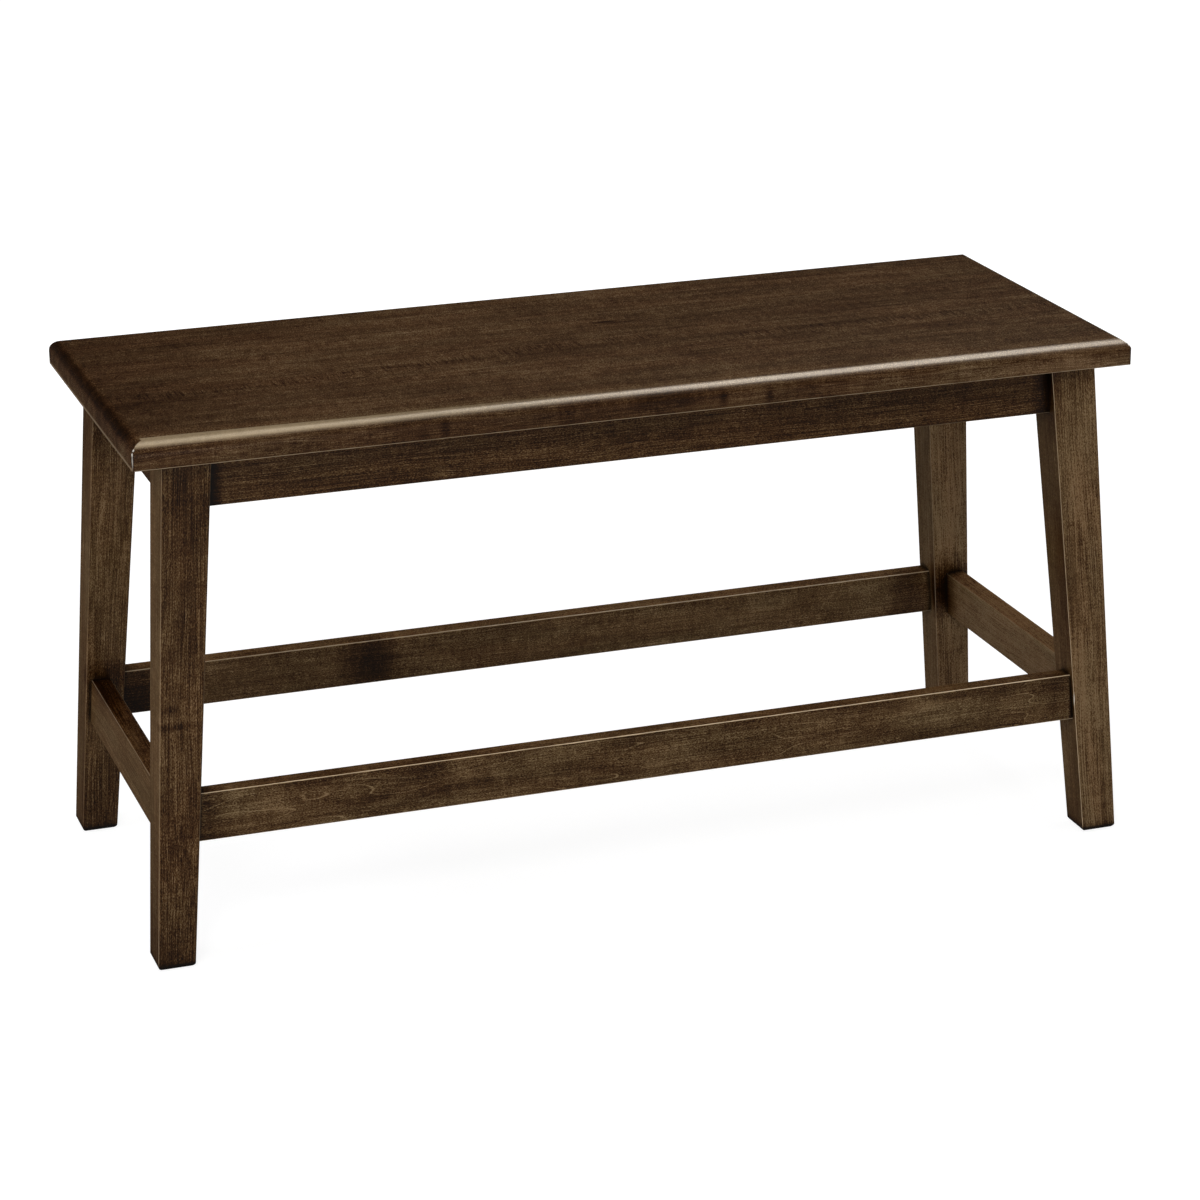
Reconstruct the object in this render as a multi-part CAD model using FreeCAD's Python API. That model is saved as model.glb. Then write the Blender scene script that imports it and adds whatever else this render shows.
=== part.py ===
import FreeCAD, Part
import math
import os
from collections import namedtuple

# Counter height bench: an edge-glued seat on four splayed, tapered legs, joined by aprons under the
# seat and by a ring of stretchers that serves as a footrest.
# Millimetres. X runs along the bench, Y towards its back, Z up. The origin is on the floor under the
# middle of the seat. The bench is symmetrical about X and about Y, so most pieces are made once, in
# the back right quarter, and mirrored.

Vec = FreeCAD.Vector

# Seat
seat_length = 1175.0
seat_width = 457.5
seat_height = 610.0
seat_thickness = 30.0
seat_roundover = 16.0
seat_lower_easing = 2.5
seat_corner_radius = 5.0
seat_board_count = 4

# Legs, square in section, tapered on their two inner faces and splayed both ways (degrees)
leg_top_size = 55.2
leg_foot_size = 43.0
leg_end_overhang = 36.4
leg_side_overhang = 22.6
leg_end_splay = 3.76
leg_side_splay = 2.52
leg_edge_radius = 1.8
leg_foot_radius = 8.0

# Aprons, under the seat
apron_height = 58.2
apron_thickness = 23.0
apron_setback = 14.0
apron_edge_radius = 1.5

# Stretchers, the footrest ring
stretcher_top = 200.3
stretcher_height = 56.2
stretcher_thickness = 23.5
stretcher_setback = 6.5
stretcher_edge_radius = 1.8

# Mortise and tenon joints; the two tenons in a leg stop short of each other by tenon_gap
tenon_thickness = 10.0
tenon_shoulder = 9.0
tenon_gap = 3.0
mortise_clearance = 0.15

# Corner blocks, screwed to the aprons and up into the seat
block_width = 35.0
block_height = 44.0
block_leg_clearance = 1.5

# Wood screws; cover is the wood left between a screw's tip and the far face
screw_diameter = 4.2
screw_head_diameter = 8.0
screw_head_height = 2.8
screw_tip_length = 4.0
screw_clearance = 0.1
counterbore_clearance = 0.6
block_counterbore_depth = 11.7
seat_counterbore_depth = 14.0
block_screw_cover = 8.0
seat_screw_cover = 10.0
clip_screw_cover = 13.5

# Steel clips in a groove of the long aprons, which let the seat move across its width
clip_count = 3
clip_width = 20.0
clip_gauge = 1.6
clip_standoff = 1.5
clip_plate = 22.0
clip_tongue_gap = 2.0
groove_drop = 11.0
groove_depth = 9.0
groove_slack = 1.4

# What follows from the sizes above
underside = seat_height - seat_thickness
end_splay = math.radians(leg_end_splay)
side_splay = math.radians(leg_side_splay)
outer_reach = seat_length + seat_width
block_screw_grip = block_width / math.sqrt(2) - block_counterbore_depth
block_screw_length = block_screw_grip + apron_thickness - block_screw_cover
seat_screw_grip = block_height - seat_counterbore_depth
seat_screw_length = seat_screw_grip + seat_thickness - seat_screw_cover
clip_screw_length = clip_gauge + seat_thickness - clip_screw_cover
groove_height = clip_gauge + groove_slack

Rail = namedtuple("Rail", "middle height thickness setback edge_radius rise")
apron = Rail(underside - apron_height / 2, apron_height, apron_thickness, apron_setback,
             apron_edge_radius, apron_thickness)
stretcher = Rail(stretcher_top - stretcher_height / 2, stretcher_height, stretcher_thickness,
                 stretcher_setback, stretcher_edge_radius, 0.0)


# Planes of the splayed frame, as distances from the middle of the bench at height z

def leg_size(z):
    return leg_foot_size + (leg_top_size - leg_foot_size) * z / underside


def leg_outer_x(z):
    return seat_length / 2 - leg_end_overhang + (underside - z) * math.tan(end_splay)


def leg_outer_y(z):
    return seat_width / 2 - leg_side_overhang + (underside - z) * math.tan(side_splay)


def leg_inner_x(z):
    return leg_outer_x(z) - leg_size(z)


def leg_inner_y(z):
    return leg_outer_y(z) - leg_size(z)


def rail_plane_x(rail, z, depth):
    """Plane inside an end rail, depth in from its outer face."""
    return leg_outer_x(z) - rail.setback - depth / math.cos(end_splay)


def rail_plane_y(rail, z, depth):
    """Plane inside a long rail, depth in from its outer face."""
    return leg_outer_y(z) - rail.setback - depth / math.cos(side_splay)


def apron_inner_x(z):
    return rail_plane_x(apron, z, apron.thickness)


def apron_inner_y(z):
    return rail_plane_y(apron, z, apron.thickness)


def open_side(z):
    return outer_reach


# Solids that several pieces share

def polygon(corners):
    return Part.Face(Part.makePolygon(corners + corners[:1]))


def flat_sided(lower, upper):
    """Solid with flat sides between a lower and an upper polygon, both counter-clockwise from above."""
    faces = [polygon(lower[::-1]), polygon(upper)]
    for i in range(len(lower)):
        faces.append(polygon([lower[i - 1], lower[i], upper[i], upper[i - 1]]))
    return Part.makeSolid(Part.makeShell(faces))


def rectangle(x_low, x_high, y_low, y_high, z):
    return [Vec(x_low, y_low, z), Vec(x_high, y_low, z), Vec(x_high, y_high, z), Vec(x_low, y_high, z)]


def between(half_x, half_y):
    """Space under the seat between the planes x = +-half_x(z) and y = +-half_y(z)."""
    rings = []
    for z in (0.0, underside):
        rings.append(rectangle(-half_x(z), half_x(z), -half_y(z), half_y(z), z))
    return flat_sided(rings[0], rings[1])


def edges_along(solid, axis):
    """Edges that run mostly along one axis (0 is X, 1 is Y, 2 is Z)."""
    chosen = []
    for edge in solid.Edges:
        run = edge.Vertexes[-1].Point - edge.Vertexes[0].Point
        if abs(run[axis]) > 0.9 * run.Length:
            chosen.append(edge)
    return chosen


def edges_at_height(edges, z):
    return [edge for edge in edges if abs(edge.CenterOfMass.z - z) < 0.001]


def mirrored(solid, across_x, across_y):
    """The same piece in another quarter of the bench."""
    result = solid.copy()
    if across_x:
        result = result.mirror(Vec(), Vec(1, 0, 0))
    if across_y:
        result = result.mirror(Vec(), Vec(0, 1, 0))
    return result


def screw(length, seat, direction):
    """Wood screw with the underside of its head at seat, pointing along direction."""
    radius = screw_diameter / 2
    shank = Part.makeCylinder(radius, length - screw_tip_length)
    tip = Part.makeCone(radius, 0.0, screw_tip_length, Vec(0, 0, length - screw_tip_length))
    head = Part.makeCylinder(screw_head_diameter / 2, screw_head_height, Vec(0, 0, -screw_head_height))
    solid = head.fuse([shank, tip]).removeSplitter()
    solid.Placement = FreeCAD.Placement(seat, FreeCAD.Rotation(Vec(0, 0, 1), direction))
    return solid


def screw_hole(length, seat, direction):
    """Room for a screw: its shank, and a counterbore that opens behind its head."""
    pilot = Part.makeCylinder(screw_diameter / 2 + screw_clearance, length + screw_clearance, seat, direction)
    bore_radius = screw_head_diameter / 2 + counterbore_clearance
    counterbore = Part.makeCylinder(bore_radius, block_width + block_height, seat, direction * -1)
    return pilot.fuse(counterbore)


# Seat

def seat_slab():
    """Slab with a mitred roundover: each rounding is made alone, and the slab is what they share."""
    blank = Part.makeBox(seat_length, seat_width, seat_thickness,
                         Vec(-seat_length / 2, -seat_width / 2, underside))
    slab = blank.makeFillet(seat_corner_radius, edges_along(blank, 2))
    for axis in (0, 1):
        edges = edges_along(blank, axis)
        rounded = blank.makeFillet(seat_roundover, edges_at_height(edges, seat_height))
        lower = edges_at_height(edges_along(rounded, axis), underside)
        slab = slab.common(rounded.makeFillet(seat_lower_easing, lower))
    return slab


def seat_board(slab, number):
    """One of the boards that the slab is glued up from, counted from the front."""
    width = seat_width / seat_board_count
    front = -seat_width / 2 + (number - 1) * width
    strip = Part.makeBox(seat_length, width, seat_thickness, Vec(-seat_length / 2, front, underside))
    return slab.common(strip)


# Legs

def leg():
    """Back right leg, before its mortises."""
    rings = []
    for z in (0.0, underside):
        rings.append(rectangle(leg_inner_x(z), leg_outer_x(z), leg_inner_y(z), leg_outer_y(z), z))
    blank = flat_sided(rings[0], rings[1])
    solid = blank.makeFillet(leg_edge_radius, edges_along(blank, 2))
    for axis in (0, 1):
        foot_edges = edges_at_height(edges_along(blank, axis), 0.0)
        solid = solid.common(blank.makeFillet(leg_foot_radius, foot_edges))
    return solid


# Rails: aprons and stretchers

def bar(thickness, height, rise):
    """Long bar along X; its height is centred on the origin and it stands rise higher."""
    corner = Vec(-outer_reach, -thickness / 2, -height / 2)
    return Part.makeBox(2 * outer_reach, thickness, height + rise, corner)


def rail_bar(rail):
    blank = bar(rail.thickness, rail.height, rail.rise)
    return blank.makeFillet(rail.edge_radius, edges_along(blank, 0))


def tenon_bar(rail, clearance):
    height = rail.height - 2 * tenon_shoulder
    return bar(tenon_thickness + 2 * clearance, height + 2 * clearance, 0.0)


def stand_along(solid, rail):
    """Lean a bar with the back legs, at its height and setback."""
    solid.rotate(Vec(), Vec(1, 0, 0), leg_side_splay)
    solid.translate(Vec(0, rail_plane_y(rail, rail.middle, rail.thickness / 2), rail.middle))
    return solid


def stand_across(solid, rail):
    """Turn a bar across the bench and lean it with the right legs."""
    solid.rotate(Vec(), Vec(0, 0, 1), 90)
    solid.rotate(Vec(), Vec(0, 1, 0), -leg_end_splay)
    solid.translate(Vec(rail_plane_x(rail, rail.middle, rail.thickness / 2), 0, rail.middle))
    return solid


def tenon_space_along(rail, clearance):
    """Space that a long rail's tenons may fill: up to just short of the end rail's tenons."""
    depth = (rail.thickness + tenon_thickness) / 2
    return between(lambda z: rail_plane_x(rail, z, depth) - tenon_gap + clearance, open_side)


def tenon_space_across(rail, clearance):
    depth = (rail.thickness + tenon_thickness) / 2
    return between(open_side, lambda z: rail_plane_y(rail, z, depth) - tenon_gap + clearance)


def long_tenon(rail, clearance):
    return stand_along(tenon_bar(rail, clearance), rail).common(tenon_space_along(rail, clearance))


def end_tenon(rail, clearance):
    return stand_across(tenon_bar(rail, clearance), rail).common(tenon_space_across(rail, clearance))


def long_rail(rail):
    """Back rail: its shoulders lie on the inner faces of the legs."""
    body = stand_along(rail_bar(rail), rail).common(between(leg_inner_x, open_side))
    return body.fuse(long_tenon(rail, 0.0)).removeSplitter()


def end_rail(rail):
    """Right rail: its shoulders lie on the inner faces of the legs."""
    body = stand_across(rail_bar(rail), rail).common(between(open_side, leg_inner_y))
    return body.fuse(end_tenon(rail, 0.0)).removeSplitter()


def mortises():
    """Cuts for the four tenons that a leg holds."""
    cuts = []
    for rail in (apron, stretcher):
        cuts.append(long_tenon(rail, mortise_clearance))
        cuts.append(end_tenon(rail, mortise_clearance))
    return cuts


# Corner blocks

def block_near_sum():
    """x + y on the block's face towards the leg, just clear of the leg's inner corner."""
    return leg_inner_x(underside) + leg_inner_y(underside) - block_leg_clearance * math.sqrt(2)


def block_far_sum():
    """x + y on the block's face towards the middle of the bench."""
    return block_near_sum() - block_width * math.sqrt(2)


def corner_block():
    """Block at 45 degrees between the back apron and the right apron."""
    floor = underside - block_height
    corners = []
    for total, shift in ((block_near_sum(), outer_reach), (block_near_sum(), -outer_reach),
                         (block_far_sum(), -outer_reach), (block_far_sum(), outer_reach)):
        corners.append(Vec(total / 2 + shift, total / 2 - shift, floor))
    strip = polygon(corners).extrude(Vec(0, 0, block_height))
    return strip.common(between(apron_inner_x, apron_inner_y))


def block_screw_places():
    """Seat and direction of each screw through a block into its two aprons."""
    places = []
    middle_sum = (block_near_sum() + block_far_sum()) / 2
    for z in (underside - block_height / 4, underside - block_height * 3 / 4):
        x = middle_sum - apron_inner_y(underside)
        places.append((Vec(x, apron_inner_y(z) - block_screw_grip, z), Vec(0, 1, 0)))
        y = middle_sum - apron_inner_x(underside)
        places.append((Vec(apron_inner_x(z) - block_screw_grip, y, z), Vec(1, 0, 0)))
    return places


def seat_screw_place():
    """Seat of the screw up through the middle of a block into the seat."""
    middle_sum = (block_near_sum() + block_far_sum()) / 2
    lean = apron_inner_x(underside) - apron_inner_y(underside)
    x = (middle_sum + lean) / 2
    return Vec(x, middle_sum - x, underside - seat_screw_grip)


# Seat clips

def clip_xs():
    """Clips share the back apron's length between the corner blocks evenly."""
    half_length = block_far_sum() - apron_inner_y(underside)
    spacing = 2 * half_length / (clip_count + 1)
    return [(i + 1) * spacing - half_length for i in range(clip_count)]


def groove_top():
    return underside - groove_drop


def clip_back():
    """Y of a clip's upright, just clear of the back apron at its foremost."""
    return apron_inner_y(underside) - clip_standoff


def groove():
    """Saw cut along the inside of the back apron."""
    front = apron_inner_y(underside) - groove_depth
    depth = apron_inner_y(groove_top()) + groove_depth - front
    corner = Vec(-leg_inner_x(underside), front, groove_top() - groove_height)
    return Part.makeBox(2 * leg_inner_x(underside), depth, groove_height, corner)


def clip(x):
    """Bent strip: a tongue in the groove, an upright and a plate under the seat."""
    tongue_end = apron_inner_y(groove_top()) + groove_depth - clip_tongue_gap
    upright = clip_back()
    plate_end = upright - clip_gauge - clip_plate
    low = groove_top() - clip_gauge
    outline = [(tongue_end, low), (tongue_end, groove_top()), (upright, groove_top()), (upright, underside),
               (plate_end, underside), (plate_end, underside - clip_gauge),
               (upright - clip_gauge, underside - clip_gauge), (upright - clip_gauge, low)]
    corners = [Vec(x - clip_width / 2, y, z) for y, z in outline]
    strip = polygon(corners).extrude(Vec(clip_width, 0, 0))
    seat, direction = clip_screw_place(x)
    return strip.cut(Part.makeCylinder(screw_diameter / 2 + screw_clearance, clip_gauge, seat, direction))


def clip_screw_place(x):
    y = clip_back() - clip_gauge - clip_plate / 2
    return Vec(x, y, underside - clip_gauge), Vec(0, 0, 1)


# Assembly

def save(name, shape):
    shape.exportStep(os.path.join("parts", name + ".step"))


def quarters():
    """Name of each corner of the bench, and the mirrors that bring a piece there."""
    for y_name, across_y in (("front", True), ("back", False)):
        for x_name, across_x in (("left", True), ("right", False)):
            yield y_name + "_" + x_name, across_x, across_y


def in_all_quarters(solids):
    copies = []
    for name, across_x, across_y in quarters():
        copies += [mirrored(solid, across_x, across_y) for solid in solids]
    return copies


def front_and_back(solids):
    return solids + [mirrored(solid, False, True) for solid in solids]


def main():
    os.makedirs("parts", exist_ok=True)

    block_places = block_screw_places()
    seat_place = seat_screw_place()
    up = Vec(0, 0, 1)
    block_holes = [screw_hole(block_screw_length, seat, way) for seat, way in block_places]
    seat_hole = screw_hole(seat_screw_length, seat_place, up)
    clip_places = [clip_screw_place(x) for x in clip_xs()]
    clip_holes = [screw_hole(clip_screw_length, seat, way) for seat, way in clip_places]

    slab = seat_slab().cut(in_all_quarters([seat_hole]) + front_and_back(clip_holes))
    for number in range(1, seat_board_count + 1):
        save("seat_board_%d" % number, seat_board(slab, number))

    back_right_leg = leg().cut(mortises())
    block = corner_block().cut(block_holes + [seat_hole])
    for name, across_x, across_y in quarters():
        save("leg_" + name, mirrored(back_right_leg, across_x, across_y))
        save("corner_block_" + name, mirrored(block, across_x, across_y))

    apron_holes = in_all_quarters(block_holes)
    back_apron = long_rail(apron).cut(apron_holes + [groove()])
    right_apron = end_rail(apron).cut(apron_holes)
    save("apron_back", back_apron)
    save("apron_front", mirrored(back_apron, False, True))
    save("apron_right", right_apron)
    save("apron_left", mirrored(right_apron, True, False))

    back_stretcher = long_rail(stretcher)
    right_stretcher = end_rail(stretcher)
    save("stretcher_back", back_stretcher)
    save("stretcher_front", mirrored(back_stretcher, False, True))
    save("stretcher_right", right_stretcher)
    save("stretcher_left", mirrored(right_stretcher, True, False))

    block_screws = [screw(block_screw_length, seat, way) for seat, way in block_places]
    save("corner_block_screws", Part.makeCompound(in_all_quarters(block_screws)))
    save("seat_screws", Part.makeCompound(in_all_quarters([screw(seat_screw_length, seat_place, up)])))
    save("seat_clips", Part.makeCompound(front_and_back([clip(x) for x in clip_xs()])))
    clip_screws = [screw(clip_screw_length, seat, way) for seat, way in clip_places]
    save("seat_clip_screws", Part.makeCompound(front_and_back(clip_screws)))


main()
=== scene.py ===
import math
from collections import namedtuple

import bpy
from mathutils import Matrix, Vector


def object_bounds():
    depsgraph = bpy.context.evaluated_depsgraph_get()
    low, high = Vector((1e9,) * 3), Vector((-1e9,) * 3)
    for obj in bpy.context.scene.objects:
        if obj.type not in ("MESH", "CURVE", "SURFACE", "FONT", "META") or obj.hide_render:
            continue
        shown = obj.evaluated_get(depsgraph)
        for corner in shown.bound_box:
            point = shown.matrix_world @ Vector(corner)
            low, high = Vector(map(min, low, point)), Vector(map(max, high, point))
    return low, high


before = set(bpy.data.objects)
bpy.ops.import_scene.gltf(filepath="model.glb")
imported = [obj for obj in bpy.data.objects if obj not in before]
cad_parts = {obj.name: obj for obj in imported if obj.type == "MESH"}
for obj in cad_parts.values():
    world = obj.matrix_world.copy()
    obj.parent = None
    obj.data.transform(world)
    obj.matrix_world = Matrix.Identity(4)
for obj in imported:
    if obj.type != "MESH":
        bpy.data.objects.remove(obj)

# Counter height bench in dark stained wood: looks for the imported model.
# Lengths are metres on the stage, and millimetres in the materials and in places on the bench.

cad_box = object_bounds()
scene = bpy.context.scene
scene.view_settings.view_transform = "Standard"

# Camera, solved from the photograph's straight edges
camera_place = (-1.29669, -3.80493, 1.70641)
camera_turn = (70.5776, 0.5109, -19.17)
camera_lens = 107.427
camera_sensor = 36.0
camera_reach = 200.0

# Floor with a low wall round it; its glow is 1 for white, and less near the bench, where the shadow lies
floor_half = 14.0
wall_rise = 3.0
floor_colour = (0.3, 0.3, 0.3, 1)
near_glow = 0.86
near_radius = 0.6
white_radius = 3.5

world_colour = (1.0, 0.98, 0.94, 1)
world_strength = 0.22

# Directions
X, Y, Z = (1, 0, 0), (0, 1, 0), (0, 0, 1)
along_x = (X, Z, Y)
along_y = (Y, Z, X)
diagonal = math.sqrt(0.5)

# Places on the bench
seat_thickness = 30.0
seat_top = 1000.0 * cad_box[1][2]
seat_under = seat_top - seat_thickness
seat_front = -229
apron_face = -193
foot_x = 568
foot_y = 210

# Sideways run of a leg's middle line for each unit of height
leg_lean_x = 0.0760
leg_lean_y = 0.0546


def srgb(red, green, blue):
    """Linear colour of an 8-bit display colour."""
    linear = []
    for value in (red, green, blue):
        part = value / 255.0
        linear.append(part / 12.92 if part <= 0.04045 else ((part + 0.055) / 1.055) ** 2.4)
    return (*linear, 1.0)


# Stage

def make_camera():
    data = bpy.data.cameras.new("camera")
    data.sensor_width = camera_sensor
    data.lens = camera_lens
    data.clip_end = camera_reach
    camera = bpy.data.objects.new("camera", data)
    camera.location = camera_place
    camera.rotation_euler = [math.radians(angle) for angle in camera_turn]
    scene.collection.objects.link(camera)
    scene.camera = camera


def make_floor():
    half = floor_half
    corners = [(-half, -half), (half, -half), (half, half), (-half, half)]
    points = [(x, y, 0.0) for x, y in corners] + [(x, y, wall_rise) for x, y in corners]
    sides = [(0, 1, 2, 3)]
    for first in range(4):
        second = (first + 1) % 4
        sides.append((first, first + 4, second + 4, second))
    mesh = bpy.data.meshes.new("floor")
    mesh.from_pydata(points, [], sides)
    floor = bpy.data.objects.new("floor", mesh)
    scene.collection.objects.link(floor)
    mesh.materials.append(floor_paint())


def floor_paint():
    """Pale paint, white to the eye and fainter where the bench shades it."""
    graph = Graph("floor")
    path = graph.node("ShaderNodeLightPath")
    seen = graph.math("MAXIMUM", path.outputs["Is Camera Ray"], path.outputs["Is Glossy Ray"])
    seen = graph.math("MAXIMUM", seen, path.outputs["Is Transmission Ray"])
    place = graph.node("ShaderNodeTexCoord").outputs["Object"]
    away = graph.rise(graph.vector("LENGTH", place), near_radius, white_radius)
    glow = graph.math("MULTIPLY_ADD", away, 1.0 - near_glow, near_glow)
    graph.shader.inputs["Base Color"].default_value = floor_colour
    graph.shader.inputs["Specular IOR Level"].default_value = 0.0
    graph.shader.inputs["Emission Color"].default_value = (1, 1, 1, 1)
    graph.feed(graph.shader.inputs["Emission Strength"], graph.math("MULTIPLY", seen, glow))
    return graph.material


def make_world():
    world = bpy.data.worlds.new("studio")
    scene.world = world
    world.use_nodes = True
    back = world.node_tree.nodes["Background"]
    back.inputs["Color"].default_value = world_colour
    back.inputs["Strength"].default_value = world_strength


def softbox(name, place, aim, width, height, radiance, colour=(1, 1, 1), lights=("colour", "gloss")):
    """Rectangular lamp of a given brightness that faces a point.

    lights says what of a surface it lights: its colour, its gloss or both.
    """
    data = bpy.data.lights.new(name, "AREA")
    data.shape = "RECTANGLE"
    data.size = width
    data.size_y = height
    data.energy = radiance * math.pi * width * height
    data.color = colour
    lamp = bpy.data.objects.new(name, data)
    lamp.location = place
    lamp.rotation_euler = (Vector(aim) - Vector(place)).to_track_quat("-Z", "Y").to_euler()
    lamp.visible_camera = False
    lamp.visible_diffuse = "colour" in lights
    lamp.visible_glossy = "gloss" in lights
    scene.collection.objects.link(lamp)


def make_lights():
    softbox("overhead", (0.0, 0.2, 3.2), (0, 0, 0), 2.4, 1.6, 2.6)
    softbox("key", (-2.0, -3.2, 3.2), (0, 0, 0.4), 1.0, 1.0, 16.0)
    softbox("front", (-1.2, -5.2, 1.3), (0, 0, 0.3), 3.0, 1.6, 7.0)
    softbox("side", (-4.6, -0.6, 1.4), (0, 0, 0.3), 2.0, 2.0, 6.0, (0.97, 1, 1.1))
    softbox("back_fill", (0.6, 5.0, 0.8), (0, 0, 0.5), 3.0, 1.2, 9.0, lights=("colour",))
    softbox("right_fill", (5.0, 1.0, 0.8), (0, 0, 0.5), 2.4, 1.2, 9.0, lights=("colour",))
    softbox("gloss_right", (1.15, 0.12, 2.6), (0.25, -0.08, 0.61), 1.8, 1.25, 96.0,
            (1, 0.93, 0.8), ("gloss",))
    softbox("gloss_left", (-0.1, 0.1, 2.6), (-0.4, -0.2, 0.61), 1.2, 1.2, 24.0,
            (1, 0.9, 0.72), ("gloss",))


# Building blocks of the materials

class Graph:
    """Short ways to build the nodes of one material."""

    def __init__(self, name):
        self.material = bpy.data.materials.new(name)
        self.material.use_nodes = True
        self.tree = self.material.node_tree
        self.shader = self.tree.nodes["Principled BSDF"]
        metres = self.node("ShaderNodeTexCoord").outputs["Object"]
        self.place = self.vector("MULTIPLY", metres, (1000.0, 1000.0, 1000.0))
        self.normal = self.node("ShaderNodeNewGeometry").outputs["Normal"]

    def node(self, kind, **settings):
        made = self.tree.nodes.new(kind)
        for key, value in settings.items():
            setattr(made, key, value)
        return made

    def feed(self, socket, value):
        if isinstance(value, bpy.types.NodeSocket):
            self.tree.links.new(value, socket)
        else:
            socket.default_value = value

    def math(self, operation, *values, clamp=False):
        made = self.node("ShaderNodeMath", operation=operation, use_clamp=clamp)
        for socket, value in zip(made.inputs, values):
            self.feed(socket, value)
        return made.outputs[0]

    def vector(self, operation, *values):
        made = self.node("ShaderNodeVectorMath", operation=operation)
        for socket, value in zip(made.inputs, values):
            self.feed(socket, value)
        return made.outputs["Value"] if operation in ("DOT_PRODUCT", "LENGTH") else made.outputs[0]

    def along(self, axis):
        """How far a point of the bench lies along an axis, in millimetres."""
        return self.vector("DOT_PRODUCT", self.place, axis)

    def facing(self, axis):
        """1 where a face looks along an axis or against it, 0 where it lies along it."""
        return self.math("ABSOLUTE", self.vector("DOT_PRODUCT", self.normal, axis))

    def noise(self, place, stretch, detail=2.0, roughness=0.5, distortion=0.0, output=0):
        """Noise whose features are about as long as stretch, in millimetres."""
        made = self.node("ShaderNodeTexNoise")
        scaled = self.vector("DIVIDE", place, stretch)
        self.feed(made.inputs["Vector"], scaled)
        self.feed(made.inputs["Scale"], 1.0)
        self.feed(made.inputs["Detail"], detail)
        self.feed(made.inputs["Roughness"], roughness)
        self.feed(made.inputs["Distortion"], distortion)
        return made.outputs[output]

    def swing(self, value, amount):
        """A noise value about zero, times an amount."""
        return self.math("MULTIPLY", self.math("SUBTRACT", value, 0.5), amount)

    def total(self, *values):
        result = values[0]
        for value in values[1:]:
            result = self.math("ADD", result, value)
        return result

    def product(self, *values):
        result = values[0]
        for value in values[1:]:
            result = self.math("MULTIPLY", result, value)
        return result

    def rise(self, value, start, end):
        """0 before start, 1 past end, smooth between; it falls where end is the lower one."""
        made = self.node("ShaderNodeMapRange", interpolation_type="SMOOTHSTEP")
        self.feed(made.inputs["Value"], value)
        self.feed(made.inputs["From Min"], start)
        self.feed(made.inputs["From Max"], end)
        return made.outputs[0]

    def spot(self, centre, size):
        """1 at a point of the bench, falling to 0 at the given distances along x, y and z."""
        off = self.vector("DIVIDE", self.vector("SUBTRACT", self.place, centre), size)
        return self.rise(self.vector("LENGTH", off), 1.0, 0.0)

    def ramp(self, value, *stops):
        made = self.node("ShaderNodeValToRGB")
        elements = made.color_ramp.elements
        while len(elements) < len(stops):
            elements.new(0.5)
        for element, (position, colour) in zip(elements, stops):
            element.position = position
            element.color = colour
        self.feed(made.inputs[0], value)
        return made.outputs[0]

    def mix(self, factor, first, second, blend="MIX"):
        made = self.node("ShaderNodeMix", data_type="RGBA", blend_type=blend)
        self.feed(made.inputs["Factor"], factor)
        self.feed(made.inputs["A"], first)
        self.feed(made.inputs["B"], second)
        return made.outputs["Result"]


# Stained wood

# Colours of the stain by tone, from dark to pale, and of what lies over it
stain_steps = ((0.0, srgb(12, 4, 0)), (0.25, srgb(35, 16, 2)), (0.5, srgb(63, 41, 20)),
               (0.75, srgb(91, 69, 43)), (1.0, srgb(128, 103, 74)))
cool_cast = (0.98, 1.01, 1.02, 1)
warm_cast = (1.02, 0.99, 0.98, 1)
warm_top_cast = (1.0, 0.84, 0.7, 1)
# Dark colour of the thicker stain in the joints and of painted shade in enclosed corners
thick_stain_and_shade = srgb(12, 7, 4)
# Colour of the painted highlight on the left of the seat's front roundover
nose_highlight_colour = srgb(142, 124, 97)
# Pale colour of the rubbed edges, lightened further as a painted highlight along them
worn_and_highlit_wood = srgb(205, 180, 146)
# Colour of small painted highlights
glint_highlight_colour = srgb(236, 228, 214)

# How far a rounded edge must turn away from the faces to be rubbed pale and carry a painted highlight, at
# the start and in full
thin_edges = (0.14, 0.25)
usual_edges = (0.06, 0.24)
crisp_edges = (0.08, 0.18)
wide_edges = (0.04, 0.18)

# Grain of a kind of piece: sizes of its pores and fibres, and the strengths of what its tone is made of
Wood = namedtuple("Wood", "pore_length pore_width fibre_length pores fibres blotches lines")
seat_grain = Wood(1.5, 1.8, 90, 0.85, 0.55, 0.3, 0.04)
leg_grain = Wood(2.1, 0.6, 160, 1.1, 1.25, 0.3, 0.0)
apron_grain = Wood(1.9, 0.6, 110, 1.2, 1.0, 0.25, 0.06)
front_stretcher_grain = Wood(1.9, 0.6, 110, 1.25, 0.8, 0.5, 0.56)
back_stretcher_grain = Wood(1.9, 0.6, 110, 1.2, 0.7, 0.3, 0.12)


def grain_place(graph, grain, seed):
    """Coordinates with the grain along the first one, in millimetres, moved by a piece's own seed."""
    joined = graph.node("ShaderNodeCombineXYZ")
    for socket, axis in zip(joined.inputs, grain):
        graph.feed(socket, graph.along(axis))
    straight = graph.vector("ADD", joined.outputs[0], (seed * 731.0, seed * 97.0, seed * 53.0))
    wander = graph.noise(straight, (330, 60, 60), 2.0, output="Color")
    sway = graph.vector("MULTIPLY", graph.vector("SUBTRACT", wander, (0.5, 0.5, 0.5)), (0, 20, 20))
    return graph.vector("ADD", straight, sway)


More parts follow.
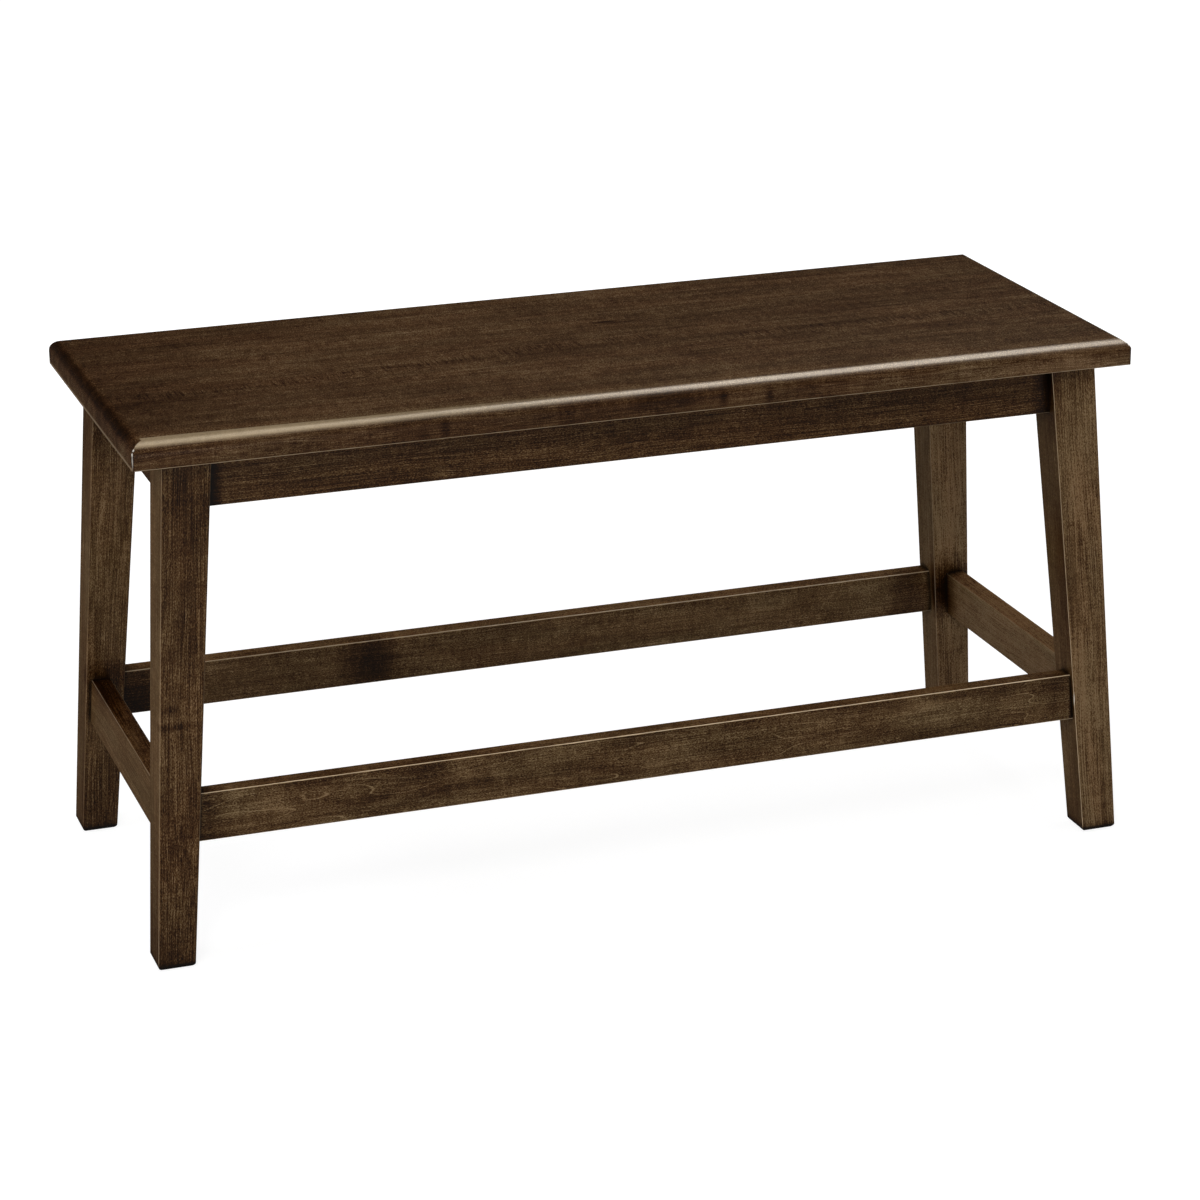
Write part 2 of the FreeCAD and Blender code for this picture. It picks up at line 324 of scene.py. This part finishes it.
def growth_lines(graph, place):
    """Thin curved lines of the growth rings, in patches, 0 to 1."""
    bend = graph.noise(place, (210, 34, 34), 1.0, 0.5)
    across = graph.vector("DOT_PRODUCT", place, (0, 1, 0.4))
    turn = graph.math("FRACT", graph.math("MULTIPLY_ADD", bend, 7.0, graph.product(across, 0.06)))
    line = graph.rise(graph.math("ABSOLUTE", graph.math("SUBTRACT", turn, 0.5)), 0.04, 0.0)
    patch = graph.rise(graph.noise(place, (150, 40, 40), 1.0), 0.46, 0.58)
    return graph.product(line, patch)


def figure(graph, place, wood):
    """Tone of the whole grain about zero, and the fibres and pores as a height."""
    pores = graph.noise(place, (wood.pore_length, wood.pore_width, 0.6), 0.0)
    fibres = graph.noise(place, (wood.fibre_length, 1.1, 1.1), 1.0, 0.6)
    bands = graph.noise(place, (420, 9, 9), 2.0, 0.5)
    blotches = graph.noise(place, (80, 26, 26), 1.0, 0.5, 0.6)
    clouds = graph.noise(place, (300, 90, 90), 1.0)
    shimmer = graph.noise(place, (8, 24, 24), 2.0, 0.5)
    tone = graph.total(graph.swing(pores, wood.pores), graph.swing(fibres, wood.fibres),
                       graph.swing(bands, 0.28), graph.swing(blotches, wood.blotches),
                       graph.swing(clouds, 0.3), graph.swing(shimmer, 0.3),
                       graph.product(growth_lines(graph, place), wood.lines))
    return tone, graph.math("ADD", fibres, pores)


def end_grain(graph, grain):
    """1 on the roundings towards a piece's ends, about 0 on its long faces and its flat ends."""
    endwise = graph.facing(grain[0])
    return graph.math("MULTIPLY_ADD", graph.rise(endwise, 0.8, 1.0), -1.1, graph.rise(endwise, 0.2, 0.6))


def cast(graph, place):
    """Slow change between a cooler and a warmer stain, as a colour to multiply by."""
    warm = graph.rise(graph.noise(place, (130, 34, 34), 1.0), 0.35, 0.65)
    return graph.mix(warm, cool_cast, warm_cast)


def joint_stain_and_corner_shade(graph, place):
    """1 along every joint, where the stain was left thicker, and wider in enclosed corners as painted
    shade.
    """
    uneven = graph.swing(graph.noise(place, (14, 9, 9), 2.0, 0.5), 0.14)
    depth = 0.0
    # The narrow pass darkens the joints; the wide one paints shade into enclosed corners
    for metres, start, end in ((0.014, 0.2, 0.44), (0.06, 0.42, 0.62)):
        outside = graph.node("ShaderNodeAmbientOcclusion", samples=8)
        outside.inputs["Distance"].default_value = metres
        hidden = graph.math("SUBTRACT", 1.0, outside.outputs["AO"])
        depth = graph.math("MAXIMUM", depth, graph.rise(graph.math("ADD", hidden, uneven), start, end))
    return depth


def edge_wear_and_highlight(graph, place, grain, edges):
    """1 along the rounded edges between a piece's main faces, broken up along them, and 0 at the feet:
    rubbed wood with a painted highlight along it.
    """
    flat = 0.0
    for axis in grain:
        flat = graph.math("MAXIMUM", flat, graph.facing(axis))
    broken_up = graph.noise(place, (40, 12, 12), 3.0, 0.6)
    turned = graph.math("SUBTRACT", graph.math("ADD", graph.swing(broken_up, 0.2), 1.0), flat)
    above_feet = graph.rise(graph.along(Z), 4.0, 14.0)
    return graph.product(graph.rise(turned, *edges), above_feet)


def seat_wear_and_highlight(graph, worn_and_lit):
    """How pale the seat's lower edges are, rubbed and with a painted highlight, and where a highlight is
    painted on the left of its front roundover.
    """
    x, y, z = (graph.along(axis) for axis in (X, Y, Z))
    sideways = graph.facing(X)
    off_corner = graph.rise(graph.product(sideways, graph.facing(Y)), 0.2, 0.05)
    low = graph.product(graph.rise(z, seat_under + 10.0, seat_under + 5.0), off_corner, worn_and_lit)
    ends = graph.product(graph.rise(z, seat_under + 6.0, seat_under + 3.0), graph.rise(sideways, 0.6, 0.9))
    low = graph.math("MAXIMUM", low, graph.product(ends, 0.34))
    # The rest paints a highlight on the left of the front roundover
    spread = graph.product(graph.rise(x, -300.0, -560.0), 5.0)
    front = graph.rise(graph.math("SUBTRACT", y, spread), seat_front + 19.5, seat_front + 16.5)
    high = graph.rise(z, seat_top - 7.0, seat_top - 3.0)
    left = graph.rise(x, 60.0, -480.0)
    return low, graph.product(front, high, left, graph.rise(sideways, 0.2, 0.1))


def lacquer(graph, height):
    """Satin finish over the wood, with its pores and fibres as bumps under the coat."""
    graph.feed(graph.shader.inputs["Roughness"], graph.math("ADD", graph.swing(height, -0.2), 0.4))
    graph.shader.inputs["Specular IOR Level"].default_value = 0.0
    graph.shader.inputs["Coat Weight"].default_value = 0.02
    graph.shader.inputs["Coat IOR"].default_value = 3.0
    graph.shader.inputs["Coat Roughness"].default_value = 0.3
    bump = graph.node("ShaderNodeBump")
    bump.inputs["Strength"].default_value = 0.2
    bump.inputs["Distance"].default_value = 0.0002
    graph.feed(bump.inputs["Height"], height)
    graph.feed(graph.shader.inputs["Normal"], bump.outputs[0])


def stained_wood(name, wood, grain, seed, tone, face=(0, 0, 0), quiet=(0, 0, 0), end_tone=-0.12,
                 marks_light_and_shade=(), extra=None, tint=(1, 1, 1, 1), warm_top=0.0, seat=False,
                 wear=0.4, edges=usual_edges, glints=()):
    """Dark stained maple.

    grain: unit vectors along, across and through the grain.
    face: change of tone by the way a face looks, partly the wood's own and partly painted light and shade.
    quiet: directions whose faces show a calmer grain.
    end_tone: change of tone on the roundings towards the ends.
    marks: centre, size and change of tone of single spots, in the wood and as painted shade and
    highlights. extra: function that adds to the tone.
    tint: colour over the stain. warm_top: strength of a warmer stain on faces that look up.
    wear: strength of the rubbed edges and their painted highlight. edges: how much of their rounding is
    rubbed and lit.
    glints: centre, size and strength of small painted highlights.
    """
    graph = Graph(name)
    place = grain_place(graph, grain, seed)
    detail, height = figure(graph, place, wood)
    looks = graph.vector("ABSOLUTE", graph.normal)
    calm = graph.math("SUBTRACT", 1.0, graph.vector("DOT_PRODUCT", looks, quiet))
    level = graph.total(graph.product(detail, calm), graph.vector("DOT_PRODUCT", graph.normal, face), tone)
    level = graph.math("MULTIPLY_ADD", end_grain(graph, grain), end_tone, level)
    # Single spots: some in the wood, some painted shade and painted highlights
    for centre, size, change in marks_light_and_shade:
        level = graph.math("MULTIPLY_ADD", graph.spot(centre, size), change, level)
    if extra:
        level = graph.math("ADD", level, extra(graph, place))

    colour = graph.ramp(level, *stain_steps)
    colour = graph.mix(1.0, colour, tint, "MULTIPLY")
    colour = graph.mix(1.0, colour, cast(graph, place), "MULTIPLY")
    upward = graph.rise(graph.vector("DOT_PRODUCT", graph.normal, Z), 0.6, 0.9)
    colour = graph.mix(graph.product(upward, warm_top), colour, warm_top_cast, "MULTIPLY")
    # Thicker stain along the joints, and painted shade in enclosed corners
    colour = graph.mix(graph.product(joint_stain_and_corner_shade(graph, place), 0.85), colour, thick_stain_and_shade)
    worn_and_lit = edge_wear_and_highlight(graph, place, grain, edges)
    # Seats get rubbed lower edge lines with a painted highlight, and a painted highlight on the left of
    # the front roundover
    if seat:
        worn_and_lit, nose_highlight = seat_wear_and_highlight(graph, worn_and_lit)
        uneven = graph.math("MULTIPLY_ADD", detail, 0.5, 0.8)
        colour = graph.mix(graph.math("MULTIPLY", nose_highlight, uneven, clamp=True), colour, nose_highlight_colour)
    # Rubbed edges, lightened as painted highlights
    colour = graph.mix(graph.product(worn_and_lit, wear), colour, worn_and_highlit_wood)
    # Small painted highlights
    for centre, size, strength in glints:
        colour = graph.mix(graph.product(graph.spot(centre, size), strength), colour, glint_highlight_colour)
    graph.feed(graph.shader.inputs["Base Color"], colour)
    lacquer(graph, height)
    return graph.material


def dress(node, material):
    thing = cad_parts[node]
    thing.data.materials.clear()
    thing.data.materials.append(material)


# Seat. Marks here and below: centre, size along x, y and z, and change of tone; some are painted light and
# shade, as each table says

seat_tone = 0.51
seat_tint = (1, 1.02, 1.12, 1)
seat_marks_light_and_shade = {
    # Every board darkens towards the left end. On board 1 the long strip along the front of the top is a
    # painted highlight, and the mark low on the middle of the front roundover is a painted dark reflection
    # under the highlight
    1: [((-590, -170, seat_top), (150, 120, 40), -0.1), ((0, -222, seat_top + 2), (3000, 46, 14), 0.1),
        ((-300, -140, seat_top), (330, 60, 40), 0.08), ((400, -96, seat_top), (60, 14, 30), -0.08),
        ((-200, seat_front, 586), (620, 20, 26), -0.05), ((480, seat_front, 587), (330, 20, 24), 0.16),
        ((560, seat_front, 588), (90, 20, 30), 0.12), ((105, seat_front, 588), (60, 20, 24), 0.16),
        ((-241, seat_front, 590), (9, 20, 16), -0.3), ((82, seat_front, 592), (8, 20, 14), -0.3),
        ((137, seat_front, 590), (7, 20, 14), -0.3), ((-20, seat_front, 596), (200, 20, 16), -0.12)],
    2: [((-590, -50, seat_top), (200, 160, 40), -0.16), ((350, -90, seat_top), (60, 12, 30), -0.08),
        ((415, -92, seat_top), (40, 12, 30), -0.1)],
    3: [((-590, 60, seat_top), (200, 160, 40), -0.16), ((44, 66, seat_top), (22, 7, 20), -0.42),
        ((70, 60, seat_top), (40, 5, 20), -0.2)],
    4: [((-590, 170, seat_top), (200, 160, 40), -0.18)],
}

# Small painted highlights, here and below: centre, size and strength
seat_glints = {
    1: [((-584.3, -225.5, 603.7), (1.8, 1.8, 3.5), 0.9), ((-586.2, -227.5, 599.6), (1.4, 1.4, 4), 0.9),
        ((-586.1, -227.3, 592), (1.3, 1.3, 12), 0.4), ((581.4, -222.6, 606.7), (2.2, 2.2, 3), 0.8),
        ((584.0, -225.2, 604.2), (2.0, 2.0, 3.5), 0.8)],
}


def front_streaks(graph, place):
    """Longer streaks along the seat's front face, in tone."""
    ahead = graph.rise(graph.vector("DOT_PRODUCT", graph.normal, Y), -0.6, -0.95)
    streaks = graph.noise(place, (34, 1.5, 1.5), 2.0, 0.6)
    return graph.product(graph.swing(streaks, 0.7), ahead)


def curl(graph, place):
    """Short dark bars across the grain, in a band that bends along the seat, in tone."""
    bars = graph.rise(graph.noise(graph.place, (2.0, 30, 30), 1.0), 0.5, 0.66)
    x = graph.along(X)
    back_line = -8.0
    front_line = -56.0
    sloping = graph.math("MULTIPLY_ADD", x, 0.12, back_line)
    middle = graph.math("MAXIMUM", graph.math("MINIMUM", sloping, back_line), front_line)
    middle = graph.math("MULTIPLY_ADD", graph.rise(x, 60.0, 140.0), -38.0, middle)
    off_middle = graph.math("ABSOLUTE", graph.math("SUBTRACT", graph.along(Y), middle))
    band = graph.rise(off_middle, 22.0, 2.0)
    patch = graph.rise(graph.noise(graph.place, (60, 400, 400), 1.0), 0.24, 0.44)
    return graph.product(bars, band, patch, -0.26)


seat_extras = {1: front_streaks, 2: curl}


def dress_seat():
    for number in range(1, 5):
        name = "seat_board_%d" % number
        wood = stained_wood(name, seat_grain, (X, Y, Z), number, seat_tone, face=(0, 0.02, 0),
                            end_tone=-0.26, marks_light_and_shade=seat_marks_light_and_shade[number], extra=seat_extras.get(number),
                            tint=seat_tint, seat=True, wear=0.69, glints=seat_glints.get(number, ()))
        dress(name, wood)


# Legs and the blocks behind them

# Tone, change of tone towards +x, and strength of the rubbed edges with their painted highlight.
# The tones and the change towards +x are partly the wood's own and partly painted light and shade.
Leg = namedtuple("Leg", "tone face wear")
legs = {
    "front_left": Leg(0.53, -0.16, 0.26),
    "front_right": Leg(0.77, 0.17, 0.58),
    "back_left": Leg(0.61, -0.06, 0.12),
    "back_right": Leg(0.84, 0.08, 0.3),
}
block_tone = 0.6
# Leg marks at the tops are painted shade under the seat and aprons, those just above the stretchers are
# painted shade in the joints' corners, and those low down are painted shade towards the floor; the others
# change the tone in patches
leg_marks_and_shade = {
    "front_left": [((-520, -207, 575), (36, 40, 150), -0.24), ((-590, -236, 0), (60, 20, 80), -0.16),
                   ((-592, -205, 0), (24, 60, 260), -0.24), ((-556, -217, 303), (12, 20, 8), -0.25),
                   ((-560, -217, 292), (26, 20, 9), 0.14), ((-556, -217, 283), (34, 20, 8), -0.24),
                   ((-540, -213, 440), (40, 20, 9), -0.1), ((-541, -207, 470), (60, 20, 170), -0.12)],
    "front_right": [((530, -205, 450), (60, 20, 140), 0.12), ((567, -231, 0), (80, 80, 200), -0.1),
                    ((500, -180, 565), (30, 40, 60), -0.5), ((525, -207, 580), (60, 40, 48), -0.24),
                    ((503, -203, 530), (12, 30, 90), -0.2), ((512, -209, 410), (12, 30, 90), -0.2),
                    ((519, -217, 290), (22, 30, 160), -0.14), ((537, -195, 90), (18, 36, 120), 0.22)],
    "back_left": [((-570, 186, 40), (60, 16, 130), -0.24), ((-553, 181, 204), (44, 16, 30), -0.5),
                  ((-530, 153, 580), (80, 30, 140), -0.2), ((-548, 190, 600), (20, 80, 200), -0.24),
                  ((-556, 200, 470), (24, 60, 120), -0.14), ((-596, 205, 0), (24, 60, 130), -0.14),
                  ((-553, 176, 320), (40, 20, 130), 0.09)],
    "back_right": [((550, 178, 176), (50, 16, 54), -0.75), ((560, 182, 60), (60, 16, 110), -0.16),
                   ((538, 162, 410), (50, 20, 60), -0.18), ((535, 155, 520), (60, 30, 90), -0.14),
                   ((560, 182, 190), (60, 30, 60), -0.3)],
}
leg_glints = {"front_right": [((531.6, -223.6, 170), (1.2, 1.2, 12), 0.85)]}


def dress_leg(name, sign_x, sign_y, seed):
    node = "leg_" + name
    leg = legs[name]
    grain = (Z, (1, 0, sign_x * leg_lean_x), (0, 1, sign_y * leg_lean_y))
    # Painted shade at the foot, darkening towards the floor
    foot_shade = ((sign_x * foot_x, sign_y * foot_y, 0), (300, 300, 16), -0.35)
    wood = stained_wood(node, leg_grain, grain, seed, leg.tone, face=(leg.face, 0, 0), quiet=(0.5, 0, 0),
                        marks_light_and_shade=leg_marks_and_shade[name] + [foot_shade], wear=leg.wear, edges=thin_edges,
                        glints=leg_glints.get(name, ()))
    dress(node, wood)


def dress_block(name, sign_x, sign_y, seed):
    node = "corner_block_" + name
    slant = diagonal * sign_x * sign_y
    grain = ((diagonal, -slant, 0), Z, (diagonal, slant, 0))
    dress(node, stained_wood(node, apron_grain, grain, seed, block_tone))


def dress_corners():
    for side_y, sign_y in (("front", -1), ("back", 1)):
        for side_x, sign_x in (("left", -1), ("right", 1)):
            name = side_y + "_" + side_x
            seed = 10 + sign_x + 2 * sign_y
            dress_leg(name, sign_x, sign_y, seed)
            dress_block(name, sign_x, sign_y, seed + 20)


# Aprons and stretchers

aprons = {
    "front": dict(grain=along_x, seed=40, tone=0.44,
                  # Painted shadows of the front legs on the apron beside them
                  marks_light_and_shade=[((-500, apron_face, 550), (22, 60, 300), -0.75),
                         ((500, apron_face, 550), (26, 60, 300), -0.45)]),
    "back": dict(grain=along_x, seed=41, tone=0.44),
    "left": dict(grain=along_y, seed=44, tone=0.5),
    "right": dict(grain=along_y, seed=45, tone=0.5),
}

long_stretcher_tint = (1, 1.05, 1.07, 1)
# Tones and the change of tone by face are partly the wood's own and partly painted light and shade
stretchers = {
    "front": dict(wood=front_stretcher_grain, grain=along_x, seed=50, tone=0.55, face=(0, 0, 0.16),
                  wear=1.0, edges=crisp_edges, tint=long_stretcher_tint),
    "back": dict(wood=back_stretcher_grain, grain=along_x, seed=51, tone=0.59, face=(0, 0, 0.16),
                 wear=0.54, edges=wide_edges, tint=long_stretcher_tint),
    "left": dict(wood=apron_grain, grain=along_y, seed=54, tone=0.64, face=(-0.04, 0, -0.16),
                 quiet=(0.45, 0, 0), wear=0.22),
    "right": dict(wood=apron_grain, grain=along_y, seed=55, tone=0.82, face=(-0.04, 0, 0.08),
                  quiet=(0.45, 0, 0), wear=0.1),
}

# Faces of the front and back stretchers that look to the front, about
near = -215
far = 190
# Stretcher marks at the ends by the legs are painted shade and shadows cast by the legs, the dark back end
# of the left stretcher's top is a painted shadow of the seat, and the thin black line at the front
# stretcher's right end is its joint; the others change the tone in patches
stretcher_marks_and_shade = {
    "front": [((-524, near, 172), (34, 30, 200), -0.26), ((-430, near, 176), (110, 30, 22), 0.1),
              ((-266, near, 180), (40, 30, 36), -0.16), ((-180, near, 176), (50, 30, 30), -0.14),
              ((-60, near, 172), (260, 30, 80), 0.06), ((-20, near, 192), (50, 30, 14), -0.12),
              ((0, near, 196), (500, 30, 12), -0.08), ((330, near, 174), (60, 30, 24), 0.16),
              ((420, near, 162), (220, 30, 60), 0.08), ((510, near, 172), (30, 30, 200), -0.12),
              ((532, near, 172), (5, 30, 200), -0.9)],
    "back": [((-222, far, 175), (54, 30, 60), -0.5), ((-515, far, 150), (64, 30, 90), -0.62),
             ((280, far, 160), (330, 30, 60), 0.14), ((500, far, 172), (40, 30, 200), -0.3)],
    "left": [((-560, 180, 204), (60, 190, 20), -0.28)],
    "right": [((548, 196, 172), (16, 64, 90), -0.7)],
}
stretcher_glints = {"left": [((-567.5, 187, 200), (3, 9, 3), 0.6)]}


def dress_rails():
    for side, looks in aprons.items():
        node = "apron_" + side
        dress(node, stained_wood(node, apron_grain, **looks))
    for side, looks in stretchers.items():
        node = "stretcher_" + side
        dress(node, stained_wood(node, marks_light_and_shade=stretcher_marks_and_shade[side], warm_top=1.0,
                                 glints=stretcher_glints.get(side, ()), **looks))


# Screws and clips

def steel():
    """Zinc-plated steel, slightly dull and mottled."""
    graph = Graph("steel")
    cloud = graph.noise(graph.place, (5, 5, 5), 3.0, 0.6)
    tint = graph.ramp(cloud, (0.3, srgb(150, 150, 146)), (0.7, srgb(196, 197, 194)))
    graph.feed(graph.shader.inputs["Base Color"], tint)
    graph.feed(graph.shader.inputs["Roughness"], graph.math("ADD", graph.swing(cloud, 0.4), 0.36))
    graph.shader.inputs["Metallic"].default_value = 1.0
    return graph.material


def dress_metal():
    metal = steel()
    for name in ("corner_block_screws", "seat_screws", "seat_clips", "seat_clip_screws"):
        dress(name, metal)


make_camera()
make_floor()
make_world()
make_lights()
dress_seat()
dress_corners()
dress_rails()
dress_metal()
